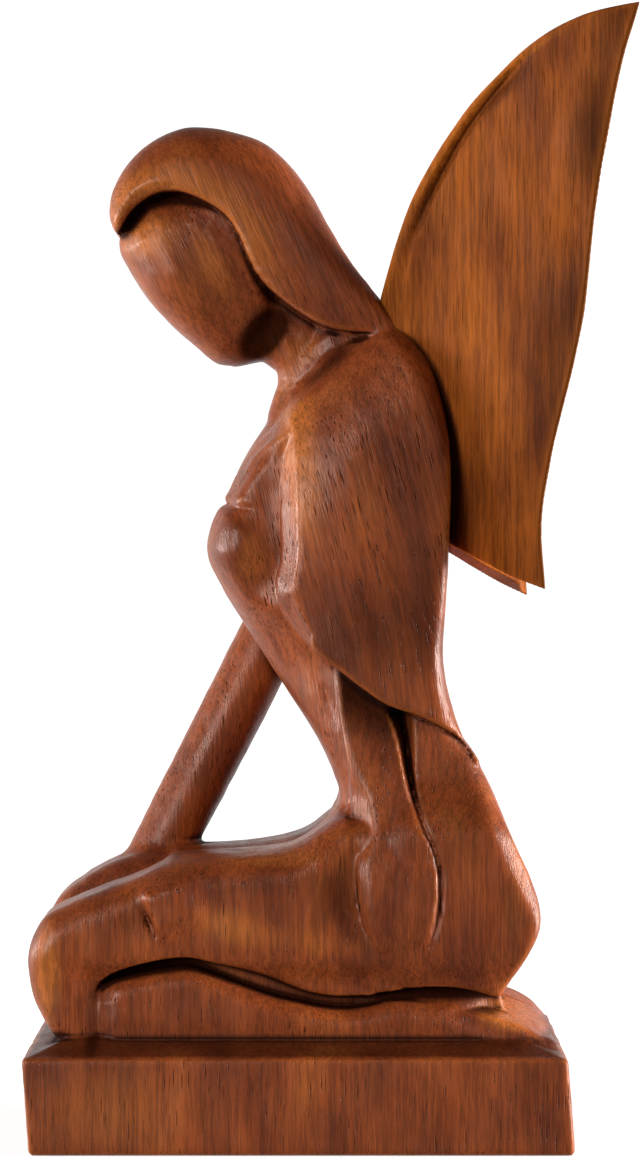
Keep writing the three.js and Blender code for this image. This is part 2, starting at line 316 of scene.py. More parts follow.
def calves_field():
    # Each calf ends in a soft valley beside the knee.
    calf_half = 34.4 - 3.5 * ramp(X, -49, -57) - 0.8 * ramp(Z, 36, 28)
    calves = rounded(side([(-60, SUNK)], OVER_CALF, [(70.8, SUNK)]), walls(calf_half), 5.0)

    # Each sole has a crest, and slopes away from it to both sides. A cleft parts the soles.
    crest = table(X, [(38, 42.5), (50, 40.8), (57.8, 38.6), (62.3, 36.8), (65.5, 34.9), (67.5, 32.9),
                      (69.4, 30.8), (70.8, 28), (72, 25)])
    crest_side = 12
    slant = 0.22 * np.maximum(WIDE - crest_side, 0) + 0.16 * np.maximum(crest_side - WIDE, 0)
    slant = slant + 3.5 * np.clip(1 - WIDE / 3, 0, None)
    soles = rounded((Z - crest + slant) * 0.94, WIDE - 33.2, 1.5)
    soles = np.maximum(soles, np.maximum(np.maximum(36 - X, X - 71.6), SUNK - Z))

    # Between thigh and calf the wood goes on, deep inside at the knee and out to the surface at the heel.
    core = side([(-60, SUNK), (-60, 50), (-45, 60), (0, 66), (44, 56), (53, 46), (56, 38), (60, SUNK)])
    core_half = 25 + np.clip(1.3 * (44 - Z), 0, 8) * ramp(X, 14, 34) * ramp(X, 54, 40)
    core = np.maximum(core, walls(core_half))
    return calves, np.minimum(soles, core)


def thighs_field():
    behind = [(12, 90), (90, 92), (90, 30)]
    ease = table(Z, [(30, 5), (50, 6), (60, 7.5), (72, 8), (90, 8)])
    thigh_half = 16.4 - 2.5 * ramp(X, -64, -56) * ramp(Z, 52, 44) - 1.2 * ramp(Z, 56, 42)
    pair = []
    for knee, thigh, centre in ((LEFT_KNEE, LEFT_THIGH, -18.3), (RIGHT_KNEE, RIGHT_THIGH, 18.3)):
        outline = side([(-62, SUNK)], knee, thigh, behind, [(-20, 30), (-50, SUNK)])
        pair.append(rounded(outline, walls(thigh_half, centre), ease))
    lap_top = smooth([(-15.5, 77.7), (-5, 79.4), (3, 82), (11, 88)])
    lap = rounded(side([(-38, 58), (-34, 77)], lap_top, [(14, 58)]), WIDE - 27, 6)
    return blended(blended(pair[0], pair[1], 3), lap, 5)


def shoulder_half_width():
    """Half-width of the shoulders, by how far a point lies below the line from the chest to the nape."""
    outline = [*SHOULDER_LINE, (FAR_AWAY, 234), (FAR_AWAY, -FAR_AWAY), (-80, -FAR_AWAY)]
    below = -side_of(outline, side_u, side_v)
    return table(below, [(-6, 7), (0, 13), (2.5, 18), (5, 22), (9, 25.6), (14, 28), (22, 30.2), (32, 31)])


def back_line():
    """How far a point is behind the line of the back."""
    return side([(-FAR_AWAY, 240), (18, 240)], BACK, [(52, 20), (-FAR_AWAY, 20)])


def trunk_field(back, back_bevel):
    shoulders = shoulder_half_width()[:, None, :]
    front = side([(FAR_AWAY, 216)], CHEST, BUST, BELLY, [(0, 62), (6, 36), (FAR_AWAY, 36)])
    width = table(Z, [(233, 9), (222, 15), (208, 22), (185, 24.5), (163, 24), (150, 23), (140, 21.5),
                      (132, 21.6), (122, 24), (113, 26.4), (104, 27.6), (94, 29), (86, 32), (78, 34.2),
                      (64, 35.4), (54, 34.2), (47, 32), (40, 29)])
    bust_side = 3.6 * ramp(X, -19, -7) * ramp(Z, 144, 156) * ramp(Z, 198, 186)
    body_half = np.minimum(width - bust_side, shoulders - 2.5)
    facet = table(Z, [(240, 3), (208, 4), (196, 5), (180, 7), (172, 8), (160, 9), (150, 11), (140, 13),
                      (130, 13), (113, 11), (100, 9), (88, 8)])
    soft = table(Z, [(230, 4), (190, 5), (176, 9), (158, 9), (145, 5), (120, 4.5), (90, 6)])
    body = soft_bevelled(front, walls(body_half), facet, soft)
    cleavage = 3.2 * ramp(WIDE, 8, 0) * ramp(X, -8, -18) * ramp(Z, 148, 160) * ramp(Z, 186, 174)
    body = body + cleavage

    shawl_half = table(Z, [(236, 31), (190, 31.2), (170, 31), (150, 29.8), (130, 28.8), (107, 29.2)])
    shawl_half = np.minimum(shawl_half, shoulders) - 2.6 * ramp(X, 18, -10)
    ahead = side([(FAR_AWAY, 240), (10, 240), (0, 214)], SHAWL_FRONT, [(-12, 100), (FAR_AWAY, 100)])
    outline = rounded(ahead, side(ABOVE_HEM), 5)
    bevel_by_height = table(Z, [(215, 1), (201, 2), (194, 5.5), (186, 6.6), (170, 6.4), (155, 6),
                                (100, 6)])
    bevel_along_hem = table(X, [(-20, 6.6), (-5, 6.4), (0, 5), (4, 2.6), (8, 0.8), (60, 0.7)])
    front_bevel = np.minimum(bevel_by_height, bevel_along_hem)
    shawl = soft_bevelled(walls(shawl_half), back, back_bevel, 1.2)
    shawl = soft_bevelled(outline, shawl, front_bevel, 0.8)
    return body, shawl


def arms_field():
    # The resting arm lies flat against the left hip.
    half = table(Z, [(134, 21), (124, 23.6), (113, 27), (104, 29.4), (95, 31.6), (84, 34.6), (74, 36.8),
                     (66, 37.2), (58, 36.4), (51, 34.9)])
    outline = side([(-20, 132)], [(24.6, 130)], ARM_BACK, HAND_END[::-1], [(-20, 52.8)])
    ahead = side([(60, 132)], ARM_FRONT, [(60, 52.8)])
    bevel = table(Z, [(134, 0.3), (118, 0.4), (108, 0.8), (101, 2.6), (95, 5), (88, 6), (84, 5.6),
                      (81, 4.4), (77, 3), (64.5, 2.8), (58.3, 2.2), (54.5, 0.8), (50, 0.4)])
    resting = soft_bevelled(walls(half), ahead, bevel, 0.9)
    resting = rounded(resting, outline, 0.8)
    resting = np.maximum(resting, Y + 12)

    # The supporting arm is round, and runs from under the shawl to the right thigh.
    shoulder = np.array([-0.7, 20.0, 152.0])
    hand = np.array([-42.5, 18.0, 71.0])
    run = hand - shoulder
    offset = [ticks - start for ticks, start in zip((X, Y, Z), shoulder)]
    along = np.clip(sum(o * r for o, r in zip(offset, run)) / (run @ run), 0, 1)
    gap2 = sum((o - along * r) ** 2 for o, r in zip(offset, run))
    supporting = np.sqrt(gap2) - (9.3 - 0.7 * along)
    return resting, supporting


def head_field():
    hood_side = side(CROWN, [(-30, 205), (34, 205)])
    hood_half = table(Z, [(282, 21.4), (250, 21.4), (235, 20.6), (222, 19.2), (205, 18)])
    hood_ease = table(Z, [(285, 14), (262, 12), (250, 9), (235, 6), (222, 4)])
    hood = rounded(hood_side, walls(hood_half), hood_ease)
    edge_bevel = table(X, [(-58, 0.8), (-50, 1.2), (-45, 2.8), (-36, 1.8), (-26, 0.8), (40, 0.8)])
    hair = soft_bevelled(hood, side(ABOVE_HAIR_EDGE), edge_bevel, 0.7)

    # The face narrows from the brow to the chin.
    down_face = 0.64 * X - 0.77 * Z
    face_half = table(down_face, [(-232, 15.5), (-218, 16.8), (-205, 17.2), (-194, 15.6), (-184, 12.4),
                                  (-174, 8.5)])
    face_side = side(FACE_FRONT, JAW, [(-12, 264)])
    face_ease = table(X, [(-60, 15), (-42, 14), (-30, 11), (-14, 7), (0, 6)])
    face = rounded(face_side, walls(face_half), face_ease)

    throat = side(THROAT, [(-3, 205), (8, 205), (8, 242), (-14, 242)])
    throat = rounded(throat, WIDE - 8, 6)
    neck_side = side([(-9.6, 214.8), (-3.9, 221), (-0.3, 226.6), (3, 232), (22, 232), (24, 200),
                      (-8, 200), (-5.6, 208.5), (-6.2, 212.4)])
    neck = rounded(neck_side, walls(4.5 + 0.55 * np.clip(-neck_side, 0, 18)), 2.2)
    return hair, blended(face, throat, 2), neck


def carving_field():
    back = back_line()
    back_bevel = table(Z, [(236, 7), (226, 6.5), (215, 5), (203, 3.6), (190, 2.4), (180, 1.6),
                           (165, 1.4), (150, 1.7), (140, 2.3), (125, 3), (112, 3.3), (104, 2.8),
                           (95, 3.4), (83, 4.4), (72, 4.2), (62, 2), (54, 0.8), (40, 0.6)])
    body, shawl = trunk_field(back, back_bevel)
    resting, supporting = arms_field()
    hair, face, neck = head_field()

    # Hips and thighs run into each other, and end at the back and over the calves.
    above_calves = side(UNDER_THIGH, [(-56, SUNK), (-90, SUNK), (-90, 250), (95, 250), (95, 40.5)])
    hips = blended(thighs_field(), body, 4 + 9 * ramp(X, 16, 30))
    hips = soft_bevelled(hips, back + 0.4 * ramp(Z, 97, 104), back_bevel, 1.2)
    hips = rounded(hips, above_calves, 0.9)
    calves, inside = calves_field()
    field = np.minimum(blended(calves, hips, 0.2 + 4.5 * ramp(X, -51, -57)), inside)
    field = blended(field, supporting, 2.5)

    # Hollows that the left hand and the shawl stand over.
    beside_hand = smooth([(14.6, 92), (15.3, 76), (16.6, 64.5), (19, 57)])
    field = field + NEAR * groove(beside_hand, [9, 10, 10, 7], [0.6, 2.0, 2.2, 0.6])
    field = np.minimum(field, resting)
    hip_notch = smooth([(27.8, 118.5), (29.4, 110), (30.6, 99.7), (33.4, 88.9), (37, 80.5), (38.3, 75),
                        (38.4, 69), (37.6, 62), (35.6, 55.2)])
    field = field + NEAR * groove(hip_notch, [3.4, 2.4, 1.5, 1.2, 1.0, 1.0, 1.0, 1.0, 0.8],
                                  [7.0, 4.8, 2.8, 2.3, 1.9, 1.8, 1.8, 1.5, 0.5])
    field = np.minimum(field, shawl)
    field = blended(field, neck, 3.5)
    field = field + (NEAR + FAR) * groove(COLLAR, [2.2, 4, 4.4, 4, 3, 2], [1.0, 2.4, 3.0, 2.6, 1.8, 1.1])
    behind_jaw = [(-15, 216), (-9, 220), (-4, 225.5), (-1, 230)]
    field = field + (NEAR + FAR) * groove(behind_jaw, [3, 6, 6.5, 4], [2, 6, 6, 2])
    field = blended(field, hair, 1.4)
    field = np.minimum(field, face)
    field = np.minimum(field, plinth_field())

    # Small cuts.
    knee_cut = [(-42.4, 66), (-40.6, 62), (-38.6, 58)]
    field = field + NEAR * groove(knee_cut, [0.9, 1.3, 0.9], [0.5, 1.6, 0.5])
    field = field + NEAR * (step_up([(-43.5, 72), (-40, 63), (-36, 54)], 1.7, 7) * -2.0)
    bust_notch = [(-24, 175.6), (-20, 175.3), (-17.2, 174), (-12.9, 173.8)]
    field = field + groove(bust_notch, [1.0, 1.0, 1.0, 0.9], [0.2, 0.6, 0.9, 0.4])
    belly_crack = [(6.6, 125.2), (9.5, 116.4)]
    field = field + NEAR * groove(belly_crack, [0.8, 1.0, 0.8], [0.2, 0.8, 0.2])
    return field.astype(np.float32)


# ---- Skins ----


def sample(field, block, points):
    """The field at any points, from the eight samples round each."""
    place = (points - block.low) / block.step
    place = np.clip(place, 0, np.array(field.shape) - 1.001)
    cell = place.astype(int)
    part = (place - cell).astype(np.float32)
    total = np.zeros(len(points), np.float32)
    for corner in np.ndindex(2, 2, 2):
        weight = np.prod(np.where(corner, part, 1 - part), axis=1)
        i, j, k = (cell + corner).T
        total += weight * field[i, j, k]
    return total


def slope_at(field, block, points):
    """The field's gradient at any points."""
    reach = 0.5 * block.step
    parts = []
    for axis in np.eye(3) * reach:
        change = sample(field, block, points + axis) - sample(field, block, points - axis)
        parts.append(change / (2 * reach))
    return np.stack(parts, axis=1)


def normals_at(field, block, points):
    slope = slope_at(field, block, points)
    return slope / np.maximum(np.linalg.norm(slope, axis=1), 1e-6)[:, None]


def skin(field, block):
    """The surface where the field is zero, as points and four-sided faces (surface nets)."""
    inside = field < 0
    filled = sum(inside[i: i + field.shape[0] - 1, j: j + field.shape[1] - 1, k: k + field.shape[2] - 1]
                 .astype(np.int8) for i, j, k in np.ndindex(2, 2, 2))
    cells = np.argwhere((filled > 0) & (filled < 8))
    values = {c: field[tuple((cells + c).T)] for c in np.ndindex(2, 2, 2)}
    total = np.zeros((len(cells), 3))
    hits = np.zeros(len(cells))
    for start in np.ndindex(2, 2, 2):
        for axis in range(3):
            if start[axis]:
                continue
            end = tuple(1 if i == axis else s for i, s in enumerate(start))
            a, b = values[start], values[end]
            crossing = (a < 0) != (b < 0)
            t = np.where(crossing, a / np.where(crossing, a - b, 1), 0)
            total += crossing[:, None] * (np.array(start) + t[:, None] * np.eye(3)[axis])
            hits += crossing
    points = block.low + block.step * (cells + total / hits[:, None])

    number = np.full(filled.shape, -1, np.int64)
    number[tuple(cells.T)] = np.arange(len(cells))
    faces = []
    for axis in range(3):
        one, two = np.eye(3, dtype=int)[(axis + 1) % 3], np.eye(3, dtype=int)[(axis + 2) % 3]
        first = np.take(inside, range(field.shape[axis] - 1), axis)
        second = np.take(inside, range(1, field.shape[axis]), axis)
        edges = np.argwhere(first != second)
        limits = np.array(filled.shape)
        fits = ((edges - one - two >= 0) & (edges < limits)).all(axis=1)
        edges = edges[fits]
        ring = [number[tuple((edges - back).T)] for back in (one + two, two, 0 * one, one)]
        quads = np.stack(ring, axis=1)
        outward = first[tuple(edges.T)]
        faces.append(np.where(outward[:, None], quads, quads[:, ::-1]))

    for _ in range(2):
        distance = sample(field, block, points)
        slope = slope_at(field, block, points)
        move = distance[:, None] * slope / np.maximum((slope**2).sum(axis=1), 0.3)[:, None]
        points = points - np.clip(move, -0.5 * block.step, 0.5 * block.step)
    return points, np.concatenate(faces)


def unevenness(points, seed, longest, shortest, count=16):
    """Soft waves with no pattern to them, between about -1 and 1."""
    chance = np.random.default_rng(seed)
    total = np.zeros(len(points))
    for _ in range(count):
        direction = chance.normal(size=3)
        direction /= np.linalg.norm(direction)
        length = shortest * (longest / shortest) ** chance.random()
        total += np.sin(2 * math.pi * (points @ direction) / length + chance.uniform(0, 2 * math.pi))
    return total / math.sqrt(count)


def shading_of(field, block, points, normals):
    """How sheltered and how sharp the surface is at each point, from 0 to 1. The first is painted on as
    shadow.
    """
    occlusion_shadow = np.zeros(len(points))
    for height, weight in ((1.5, 0.45), (3.5, 0.35), (8.0, 0.2)):
        occlusion_shadow += weight * (1 - sample(field, block, points + height * normals) / height)
    reach = 1.6
    corners = [np.array(d) - 1 for d in np.ndindex(3, 3, 3) if d != (1, 1, 1)]
    ring = [d / np.linalg.norm(d) for d in corners]
    around = sum(sample(field, block, points + reach * d) for d in ring) / len(ring)
    return np.clip(occlusion_shadow, 0, 1), np.clip(around / 0.5, 0, 1)


def oval(points, middle, sizes, lean=0.0):
    """1 in the middle of an oval in the side view, fading to 0 at its border. The lean is in degrees."""
    c, s = math.cos(math.radians(lean)), math.sin(math.radians(lean))
    across, up = points[:, 0] - middle[0], points[:, 2] - middle[1]
    return ramp(np.hypot((c * across + s * up) / sizes[0], (c * up - s * across) / sizes[1]), 1, 0)


# Ovals of the side view with painted light (paler, above 0) and painted shadow (darker, below 0): middle,
# sizes, lean, strength.
PAINTED_LIGHT_OVALS = [
    ((0, 188), (9, 40), 8, 1.0), ((6, 206), (14, 12), 0, 0.4), ((-24, 242), (6, 18), 28, 0.6),
    ((-42, 249), (14, 9), 20, 1.0), ((-30, 236), (16, 20), 38, 0.35), ((-14, 160), (9, 12), 0, 0.6),
    ((-17.8, 60.4), (20, 9), -15, 0.7), ((8, 56.4), (20, 7), -5, 0.5), ((58, 70), (9, 26), 0, 0.4),
    ((-68, 48), (6, 22), 0, 1.1), ((41.6, 172), (3, 50), 0, 1.6), ((11, 68), (9, 20), 0, -0.7),
    ((-9.5, 222.5), (14, 8.5), 48, -2.6), ((6, 211.5), (20, 5), 42, -1.2),
    ((1.5, 218), (10, 8), -30, 0.6), ((24, 140), (32, 36), 0, -0.65), ((-22, 163), (9, 12), 0, -0.5),
    ((-50, 12), (38, 22), 0, 0.5), ((57, 36), (13, 7), -10, 1.0), ((44, 90), (22, 36), 0, -0.6),
    ((-2, 122), (10, 18), 25, -0.3), ((57, 87), (5, 26), 23, 0.35), ((-8, 79), (28, 5), 0, 0.6),
    ((36, 176), (14, 70), 0, -0.4), ((36, 224), (18, 13), -45, -0.8), ((-56, 36), (3, 16), 0, -0.6),
    ((-10, 72), (26, 6), 2, -0.5), ((48, 110), (9, 14), 0, -0.4), ((-50, 62), (24, 14), 20, -0.3),
    ((-19, 190), (7, 16), 20, -0.6),
]

# Ovals left rough by the gouge: middle, sizes, lean.
TOOL_MARKS = [
    ((-24, 252), (14, 6), -25), ((-12, 237), (7, 14), 25), ((-2, 222), (8, 7), 0),
    ((-52, 43), (5, 6), 0), ((13, 92), (4, 8), 0), ((15, 62), (3.5, 12), 0), ((24, 42), (26, 3.5), 0),
    ((-45, 250), (7, 6), 0),
]

# Ovals rubbed so smooth that their pores are filled: middle, sizes, lean.
WORN_SMOOTH = [
    ((-36, 236), (16, 26), 38), ((-26, 270), (34, 12), 0), ((26, 68), (15, 24), 0),
    ((-64, 52), (14, 20), 0), ((-6, 122), (12, 34), 30), ((-20, 160), (10, 20), 0),
    ((52, 70), (18, 34), 0),
]


def painted_light_of(points):
    """Painted light (paler, above 0) and painted shadow (darker, below 0) laid over the wood's plain tone
    at each point.
    """
    x, height = points[:, 0], points[:, 2]
    total = sum(strength * oval(points, middle, sizes, lean) for middle, sizes, lean, strength in PAINTED_LIGHT_OVALS)
    # A painted highlight runs along the hair's edge, where light falls on the slope of the hair.
    hair = side_of(ABOVE_HAIR_EDGE, x, height) < 0
    distance, share = along_line(HAIR_EDGE, x, height)
    painted_hair_highlight = np.interp(share, [0, 0.15, 0.55, 0.8], [0.3, 1.1, 0.9, 0])
    total = total + hair * ramp(distance, 12, 1) * painted_hair_highlight
    # Painted shadow falls under the shawl's hem, on the arm and hip.
    shawl = side_of(ABOVE_HEM, x, height) < 0
    distance, _ = along_line(HEM, x, height)
    total = total - 0.85 * ~shawl * ramp(distance, 26, 2) * ramp(x, 8, 13) * ramp(x, 36, 28)
    # Painted light and shadow are weaker on the far side.
    total = total * (0.45 + 0.55 * ramp(points[:, 1], 4, -4))
    # Painted shadow darkens the slope round the top of the plinth, beside the legs.
    painted_plinth_top_shadow = ramp(height, PLINTH_EDGE, PLINTH_EDGE + 1) * ramp(height, PLINTH_TOP + 3, PLINTH_TOP)
    return total - 0.9 * painted_plinth_top_shadow


def make_mesh(name, points, faces, attributes):
    mesh = bpy.data.meshes.new(name)
    mesh.vertices.add(len(points))
    mesh.vertices.foreach_set("co", (points * MM).astype(np.float32).ravel())
    mesh.loops.add(faces.size)
    mesh.loops.foreach_set("vertex_index", faces.astype(np.int32).ravel())
    mesh.polygons.add(len(faces))
    mesh.polygons.foreach_set("loop_start", np.arange(0, faces.size, 4, dtype=np.int32))
    mesh.polygons.foreach_set("use_smooth", np.ones(len(faces), bool))
    mesh.update(calc_edges=True)
    for key, values in attributes.items():
        kind = "FLOAT_VECTOR" if values.ndim == 2 else "FLOAT"
        attribute = mesh.attributes.new(key, kind, "POINT")
        field_name = "vector" if values.ndim == 2 else "value"
        attribute.data.foreach_set(field_name, values.astype(np.float32).ravel())
    made = bpy.data.objects.new(name, mesh)
    bpy.context.scene.collection.objects.link(made)
    return made


# ---- The wings ----

WING_TIP = (82.6, 142.2)
WING_HEEL = (33.6, -12)
LEADING = smooth([(-12.9, 67.9), (-2.6, 88.8), (9.2, 104.5), (24.4, 119.4), (44.4, 133), (62, 139.6),
                  WING_TIP])
TRAILING = smooth([WING_TIP, (74.2, 125), (63.3, 93.2), (54.1, 58.5), (40.7, 25.8), (34.5, 6), WING_HEEL])
UNDERSIDE = smooth([WING_HEEL, (17, -6), (0.7, 1.2), (-14, 7.5)])
ROOT = [(-24, 8), (-24, 67.9)]


def wing_frame(name):
    """A wing's own axes and origin: outwards, up the board, through its thickness."""
    joint = next(j for j in frame["joints"] if j["child"] == name)
    outwards = np.array(joint["axis"], float)
    ends = []
    for place in ("lower", "upper"):
        low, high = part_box(f"{name}_dowel_{place}")
        ends.append((np.array(low) + np.array(high)) / 2 / MM)
    up = (ends[1] - ends[0]) / DOWEL_SPACING
    up /= np.linalg.norm(up)
    origin = ends[0] - DOWEL_INSET[0] * outwards - DOWEL_INSET[1] * up
    return origin, np.stack([outwards, up, np.cross(outwards, up)]), ends


def wing_field(block, axes, origin, front, carving):
    """A wing board. front is 1 where its front face looks along its third axis, otherwise -1."""
    u, v, w = block.x, block.y, block.z
    flat_u, flat_v = u[:, :, 0], v[0, :, 0][None, :]
    outline = side_of([*LEADING, *TRAILING, *UNDERSIDE, *ROOT], flat_u, flat_v)
    from_lead, share = along_line(LEADING, flat_u, flat_v)
    from_trail, _ = along_line(TRAILING, flat_u, flat_v)
    from_under, _ = along_line(UNDERSIDE, flat_u, flat_v)

    # A raised rim follows the leading edge, and dies away towards the tip.
    inset = np.interp(share, [0, 0.25, 0.55, 0.8], [6.0, 4.8, 3.2, 1.8])
    strength = np.interp(share, [0, 0.1, 0.3, 0.6, 0.76], [0.0, 0.3, 1.0, 1.0, 0.0])
    rim_groove = 1.5 * strength * ramp(np.abs(from_lead - inset), 2.5, 0)
    behind_rim = 0.8 * strength * ramp(from_lead, inset - 1.5, inset) * ramp(from_lead, 26, 6)
    cupping = 1.0 * ramp(from_lead, 4, 26) * ramp(from_trail, 2, 20)
    thinning = 0.9 * ramp(from_trail, 14, 0) + 0.7 * ramp(flat_v, 60, 141)
    half = WING_THICKNESS / 2 - thinning
    front_half = (half - rim_groove - behind_rim - cupping)[:, :, None]
    edge_bevel = (2 * half - WING_THIN_EDGE) * np.clip(1.3 - from_trail / 5.5, 0, 1)
    back_half = (half - 0.5 * cupping - edge_bevel)[:, :, None]
    faces = np.maximum(front * w - front_half, -front * w - back_half)
    edge = WING_EDGE * (0.25 + 1.05 * ramp(np.minimum(from_trail, from_under), 2, 8))[:, :, None]
    field = rounded(outline[:, :, None], faces, edge)

    shape = np.broadcast_shapes(u.shape, v.shape, w.shape)
    spots = np.stack([np.broadcast_to(a, shape).ravel() for a in (u, v, w)], axis=1) @ axes + origin
    back = sample(carving, grid, spots).reshape(shape)
    return rounded(field, FIT_GAP - back, ROOT_EDGE).astype(np.float32)


# ---- Materials ----


class Shader:
    """Builds a node material a line at a time."""

    def __init__(self, name):
        self.material = bpy.data.materials.new(name)
        self.material.use_nodes = True
        self.nodes = self.material.node_tree.nodes
        self.links = self.material.node_tree.links
        self.nodes.clear()

    def add(self, kind, inputs=None, **settings):
        node = self.nodes.new(kind)
        for key, value in settings.items():
            setattr(node, key, value)
        for key, value in (inputs or {}).items():
            if isinstance(value, bpy.types.NodeSocket):
                self.links.new(value, node.inputs[key])
            else:
                node.inputs[key].default_value = value
        return node

    def attribute(self, name, output="Fac"):
        return self.add("ShaderNodeAttribute", attribute_name=name).outputs[output]

    def math(self, operation, a, b=0.0, c=0.0):
        return self.add("ShaderNodeMath", {0: a, 1: b, 2: c}, operation=operation).outputs[0]

    def between(self, value, low, high, out_low=0.0, out_high=1.0):
        inputs = {"Value": value, "From Min": low, "From Max": high,
                  "To Min": out_low, "To Max": out_high}
        return self.add("ShaderNodeMapRange", inputs, interpolation_type="SMOOTHSTEP").outputs[0]

    def mix(self, factor, a, b, mode="MIX"):
        node = self.add("ShaderNodeMix", data_type="RGBA", blend_type=mode)
        sockets = {0: factor, 6: a, 7: b}
        for index, value in sockets.items():
            if isinstance(value, bpy.types.NodeSocket):
                self.links.new(value, node.inputs[index])
            else:
                node.inputs[index].default_value = value
        return node.outputs[2]

    def stretched(self, place, sizes):
        """Texture coordinates in which one unit is the given number of millimetres along each axis."""
        scale = tuple(1 / size for size in sizes)
        return self.add("ShaderNodeMapping", {"Vector": place, "Scale": scale}).outputs[0]

    def noise(self, place, sizes, detail=2.0, roughness=0.5):
        inputs = {"Vector": self.stretched(place, sizes), "Scale": 1.0,
                  "Detail": detail, "Roughness": roughness}
        return self.add("ShaderNodeTexNoise", inputs).outputs["Fac"]

    def pores(self, place, sizes, radius):
        """Short dark dashes along the grain, 1 in a pore and 0 outside it."""
        inputs = {"Vector": self.stretched(place, sizes), "Scale": 1.0, "Randomness": 1.0}
        distance = self.add("ShaderNodeTexVoronoi", inputs).outputs["Distance"]
        return self.between(distance, radius, radius * 0.6)


def colour(red, green, blue):
    """A colour from its screen values, 0 to 255."""
    def linear(value):
        value /= 255
        return value / 12.92 if value <= 0.04045 else ((value + 0.055) / 1.055) ** 2.4
    return (linear(red), linear(green), linear(blue), 1.0)


# Each wood's screen colours (dark, middle, golden, and the dark of its pores and of painted shadow) and
# its finish.
FIGURE_TONES = ((114, 50, 23), (150, 71, 31), (194, 108, 45), (34, 12, 6))
FIGURE_FINISH = {"roughness": 0.36, "specular": 0.5, "relief": 0.28, "streak": (0.68, 1.24), "pores": 0.9}
WING_TONES = ((112, 52, 15), (150, 76, 21), (188, 103, 32), (44, 17, 7))
WING_FINISH = {"roughness": 0.52, "specular": 0.1, "relief": 0.26, "streak": (0.66, 1.26), "pores": 0.55}


def carved_wood(name, tones, finish):
    """Stained hardwood with open pores under a satin wax, pale on its edges, darkened by painted shadow
    where it is sheltered, and paled or darkened by painted light and shadow.
    """
    dark, middle, golden, pore_and_shadow_colour = (colour(*tone) for tone in tones)
    satin = finish["roughness"]
    s = Shader(name)
    grain = s.attribute("grain", "Vector")
    occlusion_shadow = s.attribute("occlusion_shadow")
    edge = s.attribute("edge")
    painted_light_and_tone = s.attribute("painted_light_and_tone")

    cloud = s.noise(grain, (14, 14, 40), 3.0, 0.5)
    streak = s.noise(grain, (1.3, 1.3, 40), 3.0, 0.55)
    fine = s.noise(grain, (0.5, 0.5, 8.0), 2.0, 0.65)
    long_pores = s.pores(grain, (0.8, 0.8, 13.0), 0.25)
    short_pores = s.pores(grain, (0.8, 0.8, 3.6), 0.18)
    crowding = s.between(s.noise(grain, (9, 9, 26), 2.0), 0.4, 0.6)
    pore = s.math("MULTIPLY", long_pores, s.math("MULTIPLY_ADD", crowding, 0.6, 0.4))
    small_pore = s.math("MULTIPLY", short_pores, s.math("MULTIPLY_ADD", crowding, -0.3, 0.5))
    open_grain = s.math("MULTIPLY_ADD", s.attribute("worn"), -0.85 * finish["pores"], finish["pores"])
    pitted = s.math("MULTIPLY", s.math("MAXIMUM", pore, small_pore), open_grain)

    tone = s.mix(s.between(cloud, 0.3, 0.62), dark, middle)
    tone = s.mix(s.between(cloud, 0.56, 0.8, 0.0, 0.5), tone, golden)
    # Painted light pales the wood towards golden, and painted shadow darkens it.
    tone = s.mix(s.between(painted_light_and_tone, 0.0, 1.0, 0.0, 0.85), tone, golden)
    tone = s.mix(s.between(painted_light_and_tone, 0.0, -1.3, 0.0, 0.92), tone, pore_and_shadow_colour)
    line = s.math("MULTIPLY_ADD", fine, 0.5, s.math("MULTIPLY", streak, 0.5))
    streaks = s.between(line, 0.36, 0.62, finish["streak"][0], finish["streak"][1])
    lines = s.add("ShaderNodeCombineColor", {0: streaks, 1: streaks, 2: streaks}).outputs[0]
    tone = s.mix(1.0, tone, lines, "MULTIPLY")
    tone = s.mix(s.math("MULTIPLY", pitted, 0.8), tone, pore_and_shadow_colour)
    # Painted shadow darkens the wood where it is sheltered.
    tone = s.mix(s.between(occlusion_shadow, 0.14, 0.6, 0.0, 0.92), tone, pore_and_shadow_colour)
    tone = s.mix(s.between(edge, 0.3, 1.0, 0.0, 0.25), tone, golden)

    rough = s.between(s.noise(grain, (6, 6, 14), 3.0), 0.3, 0.7, satin - 0.06, satin + 0.06)
    rough = s.math("MULTIPLY_ADD", s.math("MAXIMUM", pitted, occlusion_shadow), 0.4, rough)
    dull = s.math("MAXIMUM", s.math("MAXIMUM", occlusion_shadow, pitted), s.math("MULTIPLY", painted_light_and_tone, -0.5))
    shine = s.between(dull, 0.15, 0.6, finish["specular"], 0.04)
    height = s.math("MULTIPLY_ADD", pitted, -0.3, s.math("MULTIPLY", fine, 0.45))
    height = s.math("MULTIPLY_ADD", streak, 0.4, height)
    bump = s.add("ShaderNodeBump", {"Height": height, "Distance": finish["relief"] * MM, "Strength": 0.9})
    surface = {
        "Base Color": tone, "Roughness": rough, "Normal": bump.outputs[0],
        "Specular IOR Level": shine, "Specular Tint": (1.0, 0.74, 0.64, 1.0),
    }
    shader = s.add("ShaderNodeBsdfPrincipled", surface)
    s.add("ShaderNodeOutputMaterial", {"Surface": shader.outputs[0]})
    return s.material


